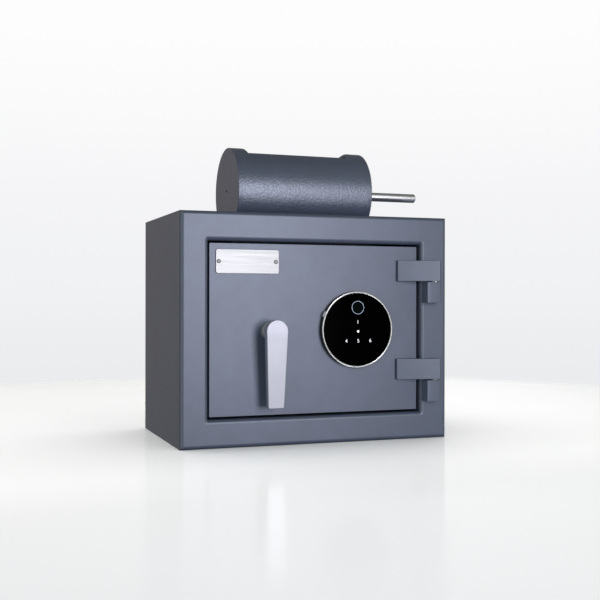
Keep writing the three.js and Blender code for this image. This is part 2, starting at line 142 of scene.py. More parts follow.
def sweep_rect(name, rows):
    """Closed ring round the front view: rows of (inset from the outer side, depth, corner radius)."""
    loops, verts = [], []
    for d, y, r in rows:
        loop = []
        # the lip is wider or narrower on three of the sides
        t = min(1.0, max(0.0, (d - FRAME + LIP_R) / LIP_R))
        right = (FRAME_HINGE - 3.7 - FRAME + LIP_R) * (1 - t) + (FRAME_HINGE - FRAME) * t if d > 15 else 0
        top = (FRAME_TOP - 5.0 - FRAME + LIP_R) * (1 - t) + (FRAME_TOP - FRAME) * t if d > 15 else 0
        for x, z in round_rect(d, W - d - right, d + (0.2 if d > 15 else 0), H - d - top, r, 6):
            loop.append(len(verts))
            verts.append(P(x, y, z))
        loops.append(loop)
    faces = []
    for a, b in zip(loops, loops[1:] + loops[:1]):
        m = len(a)
        faces += [[a[k], a[(k + 1) % m], b[(k + 1) % m], b[k]] for k in range(m)]
    return mesh_from(name, verts, faces)


def evaluated(ob):
    """Applies every modifier."""
    dg = bpy.context.evaluated_depsgraph_get()
    me = bpy.data.meshes.new_from_object(ob.evaluated_get(dg))
    old = ob.data
    ob.modifiers.clear()
    ob.data = me
    bpy.data.meshes.remove(old)
    return ob


def cut(ob, *cutters, op="DIFFERENCE"):
    for c in cutters:
        m = ob.modifiers.new("cut", "BOOLEAN")
        m.operation = op
        m.solver = "EXACT"
        m.object = c
        bpy.context.view_layer.update()
        evaluated(ob)
    for c in cutters:
        me = c.data
        bpy.data.objects.remove(c)
        bpy.data.meshes.remove(me)
    clean(ob.data, 1e-6)
    return ob


def bevel(ob, width, segments=3, angle=32, where=None):
    """Rounds the edges sharper than angle; where(place in body mm of an edge's middle) picks among them."""
    m = ob.modifiers.new("bevel", "BEVEL")
    m.width = width * MM
    m.segments = segments
    if where:
        bm = bmesh.new()
        bm.from_mesh(ob.data)
        weight = bm.edges.layers.float.get("bevel_weight_edge") or bm.edges.layers.float.new("bevel_weight_edge")
        for e in bm.edges:
            mid = (e.verts[0].co + e.verts[1].co) / 2
            sharp = len(e.link_faces) == 2 and e.calc_face_angle(0) > math.radians(angle)
            e[weight] = 1.0 if sharp and where(Vector((mid.x / MM + W / 2, mid.y / MM + D / 2, mid.z / MM))) else 0.0
        bm.to_mesh(ob.data)
        bm.free()
        m.limit_method = "WEIGHT"
    else:
        m.limit_method = "ANGLE"
        m.angle_limit = math.radians(angle)
    m.use_clamp_overlap = True
    m.miter_outer = "MITER_ARC"
    bpy.context.view_layer.update()
    evaluated(ob)
    return ob


def shade(ob, angle=38):
    me = ob.data
    me.polygons.foreach_set("use_smooth", [True] * len(me.polygons))
    me.set_sharp_from_angle(angle=math.radians(angle))
    m = ob.modifiers.new("normals", "WEIGHTED_NORMAL")
    m.weight = 100
    m.keep_sharp = True
    me.update()
    return ob


def done(ob, body, material, node=None, angle=38):
    shade(ob, angle)
    ob.data.materials.clear()
    ob.data.materials.append(material)
    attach(ob, body)
    if node:
        for n in ([node] if isinstance(node, str) else node):
            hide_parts(n)
    return ob


# ------------------------------------------------------------------ finishes
def srgb(r, g, b):
    def one(c):
        c /= 255.0
        return c / 12.92 if c <= 0.04045 else ((c + 0.055) / 1.055) ** 2.4
    return (one(r), one(g), one(b), 1.0)


class Mat:
    """Small helper round a principled shader."""

    def __init__(self, name):
        self.m = bpy.data.materials.new(name)
        self.m.use_nodes = True
        self.nt = self.m.node_tree
        self.b = next(n for n in self.nt.nodes if n.type == "BSDF_PRINCIPLED")
        self.co = self.nt.nodes.new("ShaderNodeTexCoord").outputs["Object"]

    def set(self, **kw):
        for k, v in kw.items():
            self.b.inputs[k.replace("_", " ")].default_value = v
        return self

    def link(self, a, b):
        self.nt.links.new(a, b)

    def stretch(self, x=1.0, y=1.0, z=1.0):
        n = self.nt.nodes.new("ShaderNodeMapping")
        n.inputs["Scale"].default_value = (x, y, z)
        self.link(self.co, n.inputs["Vector"])
        return n.outputs["Vector"]

    def noise(self, scale, detail=2.0, rough=0.5, vector=None):
        n = self.nt.nodes.new("ShaderNodeTexNoise")
        n.inputs["Scale"].default_value = scale
        n.inputs["Detail"].default_value = detail
        n.inputs["Roughness"].default_value = rough
        self.link(vector or self.co, n.inputs["Vector"])
        return n.outputs["Fac"]

    def ramp(self, fac, stops):
        n = self.nt.nodes.new("ShaderNodeValToRGB")
        el = n.color_ramp.elements
        while len(el) < len(stops):
            el.new(0.5)
        for e, (pos, col) in zip(el, stops):
            e.position = pos
            e.color = col if len(col) == 4 else (*col, 1)
        self.link(fac, n.inputs["Fac"])
        return n.outputs["Color"]

    def span(self, fac, lo, hi, from_lo=0.3, from_hi=0.7):
        n = self.nt.nodes.new("ShaderNodeMapRange")
        n.inputs["From Min"].default_value = from_lo
        n.inputs["From Max"].default_value = from_hi
        n.inputs["To Min"].default_value = lo
        n.inputs["To Max"].default_value = hi
        self.link(fac, n.inputs["Value"])
        return n.outputs["Result"]

    def bump(self, *layers):
        """layers of (height, distance in mm, strength), first one deepest."""
        normal = None
        for height, dist, strength in layers:
            n = self.nt.nodes.new("ShaderNodeBump")
            n.inputs["Distance"].default_value = dist * MM
            n.inputs["Strength"].default_value = strength
            self.link(height, n.inputs["Height"])
            if normal:
                self.link(normal, n.inputs["Normal"])
            normal = n.outputs["Normal"]
        self.link(normal, self.b.inputs["Normal"])
        return self


def powder_coat(name, colour, rough=(0.40, 0.45), metallic=0.35, ior=2.13, vary=0.09, grain=1.0, coarse=0.0):
    """Metallic powder coat: colour is linear, grain scales its fine orange peel."""
    m = Mat(name)
    # broad drift and small clouds of tone
    both = m.nt.nodes.new("ShaderNodeMath")
    both.operation = "ADD"
    m.link(m.noise(9.0, 3.0, 0.55), both.inputs[0])
    m.link(m.noise(70.0, 2.0, 0.5), both.inputs[1])
    tone = m.span(both.outputs[0], 0.0, 1.0, 0.0, 2.0)
    m.link(m.ramp(tone, [(0.32, tuple(c * (1 - vary) for c in colour)), (0.68, tuple(c * (1 + vary) for c in colour))]), m.b.inputs["Base Color"])
    fine = m.noise(1500.0, 2.0, 0.6)
    peel = m.noise(420.0, 2.5, 0.6)
    m.link(m.span(peel if coarse else fine, rough[0], rough[1]), m.b.inputs["Roughness"])
    m.bump((peel, 0.06 * grain + coarse, 1.0 if coarse else 0.35), (fine, 0.025 * grain, 0.45))
    m.set(Metallic=metallic, IOR=ior)
    return m.m


def brushed(name, dark, light, rough=(0.22, 0.34), along="x", metallic=1.0, fine=1.0, grain=0.5):
    m = Mat(name)
    k = {"x": (18, 900, 900), "y": (900, 18, 900), "z": (900, 900, 18)}[along]
    lines = m.noise(fine, 3.0, 0.65, m.stretch(*k))
    m.link(m.ramp(lines, [(0.30, dark), (0.70, light)]), m.b.inputs["Base Color"])
    m.link(m.span(lines, rough[0], rough[1]), m.b.inputs["Roughness"])
    m.bump((lines, 0.02 * grain, 0.5))
    m.set(Metallic=metallic)
    return m.m


def satin(name, dark, light, rough=(0.30, 0.40), metallic=1.0, grain=1.0):
    m = Mat(name)
    blast = m.noise(2600.0, 2.0, 0.6)
    tone = m.noise(40.0, 2.0, 0.5)
    m.link(m.ramp(tone, [(0.3, dark), (0.7, light)]), m.b.inputs["Base Color"])
    m.link(m.span(blast, rough[0], rough[1]), m.b.inputs["Roughness"])
    m.bump((blast, 0.02 * grain, 0.35))
    m.set(Metallic=metallic)
    return m.m


def moulded(name, dark, light, rough=(0.45, 0.6), grain=1.0):
    m = Mat(name)
    tex = m.noise(1800.0, 2.0, 0.6)
    tone = m.noise(30.0)
    m.link(m.ramp(tone, [(0.3, dark), (0.7, light)]), m.b.inputs["Base Color"])
    m.link(m.span(tex, rough[0], rough[1]), m.b.inputs["Roughness"])
    m.bump((tex, 0.05 * grain, 0.4))
    return m.m


def black_glass(name, dark=srgb(1, 1, 2), light=srgb(3, 3, 4)):
    m = Mat(name)
    smear = m.noise(14.0, 3.0, 0.6)
    m.link(m.ramp(smear, [(0.3, dark), (0.7, light)]), m.b.inputs["Base Color"])
    m.link(m.span(smear, 0.06, 0.10), m.b.inputs["Roughness"])
    m.set(Specular_IOR_Level=0.03)
    return m.m


def lit(name, colour, strength):
    m = Mat(name)
    grain = m.noise(900.0)
    m.link(m.ramp(grain, [(0.2, colour), (0.8, tuple(min(1.0, c * 1.06) for c in colour[:3]) + (1.0,))]), m.b.inputs["Emission Color"])
    m.set(Base_Color=(0.02, 0.02, 0.02, 1), Roughness=0.3, Emission_Strength=strength)
    return m.m


PAINT = powder_coat("powder_coat_blue_grey", (0.130, 0.160, 0.260))
PAINT_HOPPER = powder_coat("powder_coat_hopper", (0.139, 0.169, 0.277), rough=(0.33, 0.44), metallic=0.41, ior=2.5, grain=1.8, coarse=0.22)
PAINT_IN = powder_coat("inner_paint_grey", (0.140, 0.155, 0.195), rough=(0.5, 0.62), metallic=0.2, ior=1.6)
SILVER = satin("satin_silver", (0.714, 0.722, 0.85, 1), (0.745, 0.753, 0.88, 1), rough=(0.48, 0.56), metallic=1.0)
ROSE = satin("satin_rose", (0.50, 0.52, 0.60, 1), (0.54, 0.56, 0.64, 1), rough=(0.45, 0.52), metallic=0.5)
BEZEL = satin("bezel_silver", (0.58, 0.585, 0.60, 1), (0.62, 0.625, 0.64, 1), rough=(0.30, 0.38), metallic=0.9)
ROD = brushed("polished_rod", (0.82, 0.81, 0.89, 1), (0.90, 0.89, 0.96, 1), rough=(0.26, 0.31), along="x")
STEEL = brushed("bright_steel", srgb(190, 192, 198), srgb(212, 214, 220), rough=(0.18, 0.28), along="z")
BOLT_STEEL = brushed("turned_steel", srgb(190, 192, 198), srgb(214, 216, 222), rough=(0.16, 0.26), along="x")
ZINC = satin("bright_zinc", srgb(168, 172, 180), srgb(190, 193, 198), rough=(0.30, 0.42))
BRASS = satin("turned_brass", srgb(196, 164, 96), srgb(210, 180, 112), rough=(0.26, 0.36))
PLATE = brushed("plate_aluminium", (0.38, 0.385, 0.415, 1), (0.45, 0.455, 0.49, 1), rough=(0.34, 0.44), along="x", metallic=1.0, grain=0.3)
GLASS = black_glass("black_glass")
SENSOR = black_glass("sensor_glass", srgb(10, 17, 18), srgb(14, 21, 22))
PLASTIC = moulded("black_plastic", srgb(28, 28, 31), srgb(34, 34, 37))
RIVET = satin("rivet_grey", (0.50, 0.50, 0.54, 1), (0.56, 0.56, 0.60, 1), rough=(0.42, 0.5), metallic=0.45)
LEAD = moulded("lead_sheath", srgb(20, 20, 22), srgb(26, 26, 28), rough=(0.4, 0.5))
DIGIT = lit("digit_white", (0.86, 0.88, 0.94, 1.0), 1.4)
RING = lit("ring_blue_white", (0.62, 0.74, 1.0, 1.0), 1.35)

BODY, DOOR, LEVER, BOLTS, LATCH, DRUM = "safe_body", "door", "lever", "bolt_carriage_body", "latch", "drum"

# ------------------------------------------------------------------ body shell
FOLD_R, FRAME, FRAME_HINGE, FRAME_TOP, LIP_R, LIP_D, T = 4.5, 31.1, 33.5, 32.2, 4.2, 16.0, 4.0


def corner(d):
    if d <= 0.5:
        return 0.7 - d
    if d < 20:
        return 0.25
    return 1.6 + max(0.0, FRAME - d) * 0.45


rows = [(0, D), (0, D * 0.6), (0, D * 0.25)]
rows += arc(FOLD_R, FOLD_R, FOLD_R, 180, 270, 10)
rows += arc(FRAME - LIP_R, LIP_R, LIP_R, 270, 360, 12)
rows += [(FRAME, LIP_D - 0.4), (FRAME - 0.4, LIP_D), (FRAME - T + 0.4, LIP_D), (FRAME - T, LIP_D - 0.4)]
rows += [(FRAME - T, T + 0.3), (FRAME - T - 0.3, T)]
rows += [(T + 1.0, T), (T, T + 1.0), (T, D)]
casing = sweep_rect("casing_shell", [(d, y, corner(d)) for d, y in rows])
HOP_Y, HOP_Z, HOP_R, HOP_T, HOP_X0, HOP_X1, HOP_DISC = 92.0, 291.9, 51.3, 4.0, 77.5, 243.9, 5.0
half = math.sqrt(HOP_R ** 2 - (HOP_Z - H) ** 2) + 0.3
cutters = [box("c", HOP_X0 - 0.3, HOP_X1 + 0.3, HOP_Y - half, HOP_Y + half, H - T - 2, H + 2)]
for x in (71, 251):
    cutters.append(lathe("c", [(0, -2), (5, -2), (5, 6), (0, 6)], "z", (x, D / 2 + 20), 48))
cut(casing, *cutters)
done(casing, BODY, PAINT, "casing", 30)

back = prism("back_plate_panel", [(T + 0.3, T + 0.3), (W - T - 0.3, T + 0.3), (W - T - 0.3, H - T - 0.3), (T + 0.3, H - T - 0.3)], "y", D - T, D)
cut(back, *[lathe("c", [(0, D - 8), (5, D - 8), (5, D + 3), (0, D + 3)], "y", (x, 190), 48) for x in (71, 251)])
bevel(back, 0.35, 2)
done(back, BODY, PAINT, "back_plate", 30)

# ------------------------------------------------------------------ hinges
PIN_X, PIN_Y, PIN_R, STRAP_END_R, STRAP_FRONT, DOOR_Y, DOOR_T = 303.2, -6.8, 3.0, 6.1, -13.0, 6.5, 5.0
DOOR_B = DOOR_Y + DOOR_T
knuckle = ([(289.2, -0.3)] + arc(291.7, -12.0, 0.8, 184, 262, 6) + [(295.0, -13.0)]
           + arc(306.7, -10.5, 2.5, 270, 360, 8) + [(309.2, -0.3)])
strap = ([(259.6, 2.3), (259.8, 1.8)] + arc(306.8, STRAP_FRONT + 2.5, 2.5, 255, 360, 8)
         + arc(PIN_X, PIN_Y, STRAP_END_R, 0, 90, 14) + [(290.2, PIN_Y + STRAP_END_R), (284.4, DOOR_Y - 0.3), (259.6, DOOR_Y - 0.3)])
for s, (s0, s1), (k0, k1), shift in (("upper", (184.9, 208.9), (159.6, 183.8), 0.0), ("lower", (70.1, 94.1), (44.6, 69.0), -1.0)):
    b, t = k0 + 2, s1 - 3
    ob = prism(f"knuckle_{s}", knuckle, "z", k0, k1)
    cut(ob, lathe("c", [(0, b - 0.3), (3.3, b - 0.3), (3.3, k1 + 3), (0, k1 + 3)], "z", (PIN_X, PIN_Y), 48))
    bevel(ob, 0.3, 3)
    done(ob, BODY, PAINT, f"hinge_knuckle_{s}")
    ob = prism(f"strap_{s}", [(x + shift if x < 260 else x, y) for x, y in strap], "z", s0, s1)
    cut(ob, lathe("c", [(0, s0 - 3), (3.3, s0 - 3), (3.3, t + 0.3), (0, t + 0.3)], "z", (PIN_X, PIN_Y), 48))
    bevel(ob, 0.35, 3)
    done(ob, DOOR, PAINT, f"hinge_strap_{s}")
    ob = lathe(f"pin_{s}", [(0, b), (PIN_R, b), (PIN_R, t - 0.8), (PIN_R - 0.8, t), (0, t)], "z", (PIN_X, PIN_Y), 48)
    done(ob, BODY, STEEL, f"hinge_pin_{s}")
    lo, hi = k1 + 0.3, s0 - 0.3
    ob = lathe(f"washer_{s}", [(3.3, lo), (5.85, lo), (6, lo + 0.12), (6, hi - 0.12), (5.85, hi), (3.3, hi)], "z", (PIN_X, PIN_Y), 64, closed=True)
    done(ob, BODY, STEEL, f"hinge_washer_{s}")

# ------------------------------------------------------------------ hopper
seam = 0.015
tube = lathe("hopper_tube", [
    (HOP_R - HOP_T, HOP_X0 + HOP_DISC + seam), (HOP_R, HOP_X0 + HOP_DISC + seam),
    (HOP_R, HOP_X1 - HOP_DISC - seam), (HOP_R - HOP_T, HOP_X1 - HOP_DISC - seam)], "x", (HOP_Y, HOP_Z), 192, closed=True)
mouth = prism("c", [(HOP_X0 + 18.2, HOP_Z + 42.9), (HOP_X1 - 19.4, HOP_Z + 42.9), (HOP_X1 - 15.2, HOP_Z + 54), (HOP_X0 + 15.9, HOP_Z + 54)],
              "y", HOP_Y - 60, HOP_Y + 60)
cut(tube, mouth, box("c", 102, 218, HOP_Y - 26, HOP_Y + 26, HOP_Z - 60, HOP_Z - 37))
bevel(tube, 0.35, 3, 34, lambda c: HOP_X0 + 6 < c.x < HOP_X1 - 6)
done(tube, BODY, PAINT_HOPPER, "hopper_housing", 30)


def disc_profile(x0, inner, edge_left, edge_right):
    """Flat disc from x0, bored to radius inner, with a rounded outer edge where it is free."""
    x1 = x0 + HOP_DISC
    out = [(inner, x0)]
    out += [(HOP_R - 0.6 + p[0], x0 + 0.6 + p[1]) for p in arc(0, 0, 0.6, -90, 0, 5)] if edge_left else [(HOP_R, x0)]
    out += [(HOP_R - 0.6 + p[0], x1 - 0.6 + p[1]) for p in arc(0, 0, 0.6, 0, 90, 5)] if edge_right else [(HOP_R, x1)]
    out += [(inner, x1)]
    return out


left = lathe("hopper_disc_left", [(1.9, HOP_X0), (HOP_R - 0.6, HOP_X0)]
             + [(HOP_R - 0.6 + p[0], HOP_X0 + 0.6 + p[1]) for p in arc(0, 0, 0.6, -90, 0, 5)]
             + [(HOP_R, HOP_X0 + HOP_DISC), (4.3, HOP_X0 + HOP_DISC), (4.3, HOP_X0 + 1.8), (1.9, HOP_X0 + 1.8)],
             "x", (HOP_Y, HOP_Z), 192, closed=True)
done(left, BODY, PAINT_HOPPER, "hopper_end_left")
right = lathe("hopper_disc_right", disc_profile(HOP_X1 - HOP_DISC, 8.3, False, True), "x", (HOP_Y, HOP_Z), 192, closed=True)
done(right, BODY, PAINT_HOPPER, "hopper_end_right")
ROD_R = 5.5
bush = lathe("rod_bush_turned", [
    (ROD_R + 0.3, HOP_X1 - 6), (9.6, HOP_X1 - 6), (9.6, HOP_X1 - 5.3), (8, HOP_X1 - 5.3), (8, HOP_X1 - 0.4), (7.6, HOP_X1), (ROD_R + 0.7, HOP_X1), (ROD_R + 0.3, HOP_X1 - 0.4)],
    "x", (HOP_Y, HOP_Z), 96, closed=True)
done(bush, BODY, BRASS, "rod_bush")

# drum and rod
DRUM_R, DX0, DX1 = 46.5, 84.3, 237.1
shell = lathe("drum_trough", [(DRUM_R - 3, DX0 + 3.3), (DRUM_R, DX0 + 3.3), (DRUM_R, DX1 - 3.3), (DRUM_R - 3, DX1 - 3.3)], "x", (HOP_Y, HOP_Z), 192, closed=True)
cut(shell, prism("c", [(HOP_Y, HOP_Z)] + arc(HOP_Y, HOP_Z, 80, 38, 142, 6), "x", DX0 - 5, DX1 + 5))
bevel(shell, 0.6, 3, 34)
done(shell, DRUM, ZINC, "drum_shell", 30)
ob = lathe("drum_disc_left", [(0, HOP_X0 + 2.2), (3.7, HOP_X0 + 2.2), (4, HOP_X0 + 2.5), (4, DX0), (DRUM_R - 0.4, DX0), (DRUM_R, DX0 + 0.4), (DRUM_R, DX0 + 3), (0, DX0 + 3)],
           "x", (HOP_Y, HOP_Z), 160)
done(ob, DRUM, ZINC, "drum_end_left")
ob = lathe("drum_disc_right", [(ROD_R + 0.3, DX1 - 3), (DRUM_R, DX1 - 3), (DRUM_R, DX1 - 0.4), (DRUM_R - 0.4, DX1), (ROD_R + 0.3, DX1)], "x", (HOP_Y, HOP_Z), 160, closed=True)
done(ob, DRUM, ZINC, "drum_end_right")
end = 325.0
ob = lathe("rod_polished", [(0, DX1 - 6.3), (7.6, DX1 - 6.3), (8, DX1 - 5.9), (8, DX1 - 3.3), (ROD_R, DX1 - 3.3), (ROD_R, 250), (ROD_R, 290)]
           + [(ROD_R, end - 1.2), (ROD_R - 0.25, end - 0.6), (ROD_R - 0.9, end), (0, end)], "x", (HOP_Y, HOP_Z), 96)
done(ob, DRUM, ROD, "drum_rod")

# ------------------------------------------------------------------ door
door = prism("door_panel", round_rect(33.8, 286, 33.8, 225.5, 1.2, 6), "y", DOOR_Y, DOOR_B)
cut(door, lathe("c", [(0, 0), (5.5, 0), (5.5, 20), (0, 20)], "y", (104.2, 128.4), 48),
    lathe("c", [(0, 0), (6.5, 0), (6.5, 20), (0, 20)], "y", (207.5, 128.8), 48))
bevel(door, 0.45, 3)
done(door, DOOR, PAINT, "door_plate", 30)

# nameplate, bare, with its two rivets
PX0, PX1, PZ0, PZ1 = 41.0, 114.0, 192.0, 218.6
face = DOOR_Y - 1.5
plate = prism("nameplate_sheet", round_rect(PX0, PX1, PZ0, PZ1, 2.5, 8), "y", face, DOOR_Y - 0.3)
rivets = {"left": (PX0 + 3.3, 205.3), "right": (PX1 - 3.6, 205.3)}
cut(plate, *[lathe("c", [(0, 0), (1.6, 0), (1.6, 9), (0, 9)], "y", c, 32) for c in rivets.values()])
bevel(plate, 0.3, 3)
done(plate, DOOR, PLATE, "nameplate", 30)
for s, c in rivets.items():
    dome = [(0, face - 1.3)] + [(2.4 * math.sin(math.radians(a)), face - 0.35 - 0.95 * math.cos(math.radians(a))) for a in (15, 30, 45, 60, 75, 90)]
    ob = lathe(f"rivet_{s}", dome + [(2.4, face - 0.3), (1.3, face - 0.3), (1.3, DOOR_Y + 3), (0, DOOR_Y + 3)], "y", c, 48)
    done(ob, DOOR, RIVET, f"plate_rivet_{s}")

# keypad
KX, KZ, KR, KF, GR = 207.5, 128.8, 43.7, -1.5, 41.5
case = lathe("keypad_dish", [(0, DOOR_Y - 0.3), (KR - 0.4, DOOR_Y - 0.3), (KR - 0.1, DOOR_Y - 0.6), (KR - 0.1, KF + 1.7), (GR + 0.3, KF + 1.7), (GR + 0.3, KF + 3), (0, KF + 3)],
             "y", (KX, KZ), 192)
cut(case, lathe("c", [(0, KF + 1), (5, KF + 1), (5, 9), (0, 9)], "y", (KX, KZ), 48))
done(case, DOOR, PLASTIC, "keypad_case", 30)
# silver ring on the rim, rounded across its width
mid, wide = (KR + GR + 0.3) / 2, (KR - GR - 0.3) / 2
bezel = lathe("keypad_ring", [(GR + 0.3, KF + 1.4), (GR + 0.3, KF + 0.7)]
              + [(mid + wide * math.cos(math.radians(a)), KF + 0.7 - 0.62 * math.sin(math.radians(a))) for a in range(165, 0, -15)]
              + [(KR, KF + 0.7), (KR, KF + 1.4)], "y", (KX, KZ), 224, closed=True)
done(bezel, DOOR, BEZEL, "keypad_bezel", 44)
glass = lathe("keypad_window", [(0, KF), (GR - 0.5, KF)] + [(GR - 0.5 + p[0], KF + 0.5 - p[1]) for p in arc(0, 0, 0.5, 90, 0, 6)]
              + [(GR, KF + 2.7), (0, KF + 2.7)], "y", (KX, KZ), 192)
SZ = 154.0
cut(glass, lathe("c", [(0, KF - 1), (7.7, KF - 1), (7.7, KF + 4), (0, KF + 4)], "y", (KX, SZ), 96))
done(glass, DOOR, GLASS, "keypad_glass", 30)
ob = lathe("sensor_window", [(0, KF + 0.15), (6.0, KF + 0.1), (7.2, KF + 0.1), (7.4, KF + 0.3), (7.4, KF + 2.7), (0, KF + 2.7)], "y", (KX, SZ), 96)
done(ob, DOOR, SENSOR, "fingerprint_window")
ob = lathe("sensor_ring", [(7.21, KF - 0.04), (7.47, KF - 0.04), (7.47, KF + 0.07), (7.21, KF + 0.07)], "y", (KX, SZ), 96, closed=True)
done(ob, DOOR, RING)


def glyph(name, text, x, z, height):
    cu = bpy.data.curves.new(name, "FONT")
    cu.body = text
    cu.align_x = "CENTER"
    cu.align_y = "CENTER"
    cu.size = height / 0.70 * MM
    cu.offset = 0.0
    cu.extrude = 0.00003
    tmp = bpy.data.objects.new(name + "_tmp", cu)
    scene.collection.objects.link(tmp)
    bpy.context.view_layer.update()
    me = bpy.data.meshes.new_from_object(tmp.evaluated_get(bpy.context.evaluated_depsgraph_get()))
    bpy.data.objects.remove(tmp)
    bpy.data.curves.remove(cu)
    lo = Vector([min(v.co[i] for v in me.vertices) for i in range(3)])
    hi = Vector([max(v.co[i] for v in me.vertices) for i in range(3)])
    mid = (lo + hi) / 2
    c = P(x, KF - 0.04, z)
    for v in me.vertices:
        u = v.co - mid
        v.co = Vector((c.x + u.x, c.y - u.z, c.z + u.y))
    clean(me, 1e-8)
    ob = link(name, me)
    return done(ob, DOOR, DIGIT)


glyph("digit_1", "1", 207.4, 137.6, 3.9)
glyph("digit_4", "4", 193.2, 115.9, 3.9)
glyph("digit_5", "5", 207.9, 115.9, 3.9)
glyph("digit_6", "6", 223.0, 116.1, 3.9)
ob = lathe("digit_dot", [(0, KF - 0.07), (1.35, KF - 0.07), (1.35, KF - 0.01), (0, KF - 0.01)], "y", (207.8, 126.7), 32)
done(ob, DOOR, DIGIT)

# small cover of the power contacts, on the rim
a = math.radians(156)
pts = [(-0.1, -3.6), (0.5, -3.5), (0.95, -3.1), (1.2, -2.3), (1.2, 2.3), (0.95, 3.1), (0.5, 3.5), (-0.1, 3.6)]
cx, cz = KX + (KR + 0.3) * math.cos(a), KZ + (KR + 0.3) * math.sin(a)
cap = prism("power_cap", [(cx + u * math.cos(a) - v * math.sin(a), cz + u * math.sin(a) + v * math.cos(a)) for u, v in pts], "y", 2.0 - 2.2, 2.0 + 2.2)
bevel(cap, 0.3, 3)
done(cap, DOOR, ROSE, "power_port_cap")

# ------------------------------------------------------------------ lever
LX, LZ = 104.2, 128.4
rose = lathe("rose_turned", [(5.4, -1.8), (10.0, -1.8)] + [(10.0 + p[0], -0.8 - p[1]) for p in arc(0, 0, 1.0, 90, 0, 6)] + [(11, DOOR_Y - 0.3), (5.4, DOOR_Y - 0.3)],
             "y", (LX, LZ), 96, closed=True)
done(rose, DOOR, ROSE, "lever_rose")
halfw, tip, HEAD_R = 9.1, 43.3 - 128.4, 12.3
lean = math.degrees(math.asin((HEAD_R - halfw) / -tip))
outline = ([(LX + u, LZ + v) for u, v in arc(0, 0, HEAD_R, -lean, 180 + lean, 40)]
           + [(LX - halfw, LZ + tip + 1.5), (LX - halfw + 0.45, LZ + tip + 0.45), (LX - halfw + 1.5, LZ + tip),
              (LX + halfw - 1.5, LZ + tip), (LX + halfw - 0.45, LZ + tip + 0.45), (LX + halfw, LZ + tip + 1.5)])
grip = prism("lever_grip", outline, "y", -20, -8)
cut(grip, prism("c", [(-20, LZ + 13), (-20, LZ - 6), (-16, LZ + tip - 1), (-8.3, LZ + tip - 1), (-11, LZ - 16), (-11, LZ + 13)], "x", LX - 20, LX + 20), op="INTERSECT")
neck = lathe("c", [(0, -11.6), (10, -11.6), (10, -2.2), (0, -2.2)], "y", (LX, LZ), 96)
cut(grip, neck, op="UNION")
cut(grip, lathe("c", [(0, -17.3), (5.3, -17.3), (5.3, 0), (0, 0)], "y", (LX, LZ), 48))
bevel(grip, 0.6, 4, 40)
done(grip, LEVER, SILVER, "lever_handle", 34)


# ------------------------------------------------------------------ inner pieces
def refine(node, body, material, width=0.35, angle=38):
    """Fine copy of a CAD node with its edges broken."""
    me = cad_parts[node].data.copy()
    bm = bmesh.new()
    bm.from_mesh(me)
    bmesh.ops.remove_doubles(bm, verts=bm.verts, dist=1e-7)
    bmesh.ops.dissolve_limit(bm, angle_limit=math.radians(0.6), verts=bm.verts, edges=bm.edges)
    bm.to_mesh(me)
    bm.free()
    ob = link(node + "_fine", me)
    if width:
        bevel(ob, width, 2, 34)
    return done(ob, body, material, node, angle)


refine("drop_chute", BODY, PAINT_IN)
refine("baffle_plate", BODY, PAINT_IN)
refine("inner_cover", DOOR, PAINT_IN, 0.5)
refine("dead_bar", DOOR, ZINC, 0.5)
refine("lock_body", DOOR, PLASTIC, 0.6)
refine("battery_box", DOOR, PLASTIC, 0.6)
refine("battery_lid", DOOR, PLASTIC, 0.5)
refine("keypad_cable", DOOR, LEAD, 0)
for s in ("upper", "lower"):
    refine(f"bolt_guide_{s}", DOOR, ZINC)
    refine(f"carriage_guide_{s}", DOOR, STEEL, 0.2)
    refine(f"bolt_nut_{s}", BOLTS, ZINC, 0.25)
    z = {"upper": 166, "lower": 92}[s]
    ob = lathe(f"bolt_turned_{s}", [(0, 38), (6.3, 38), (6.8, 38.15), (7.85, 39.2), (8, 39.7), (8, 83.7), (4, 83.7), (4, 95.6), (3.6, 96), (0, 96)], "x", (27, z), 96)
    done(ob, BOLTS, BOLT_STEEL, f"locking_bolt_{s}")
refine("bolt_carriage", BOLTS, ZINC, 0.3)
refine("lock_latch", LATCH, STEEL, 0.4)
refine("lever_spindle", LEVER, ZINC, 0.2)
refine("lever_crank", LEVER, ZINC, 0.3)
for i in (1, 2, 3, 4):
    refine(f"cover_stud_{i}", DOOR, ZINC, 0.3)
    refine(f"cover_nut_{i}", DOOR, ZINC, 0.3)


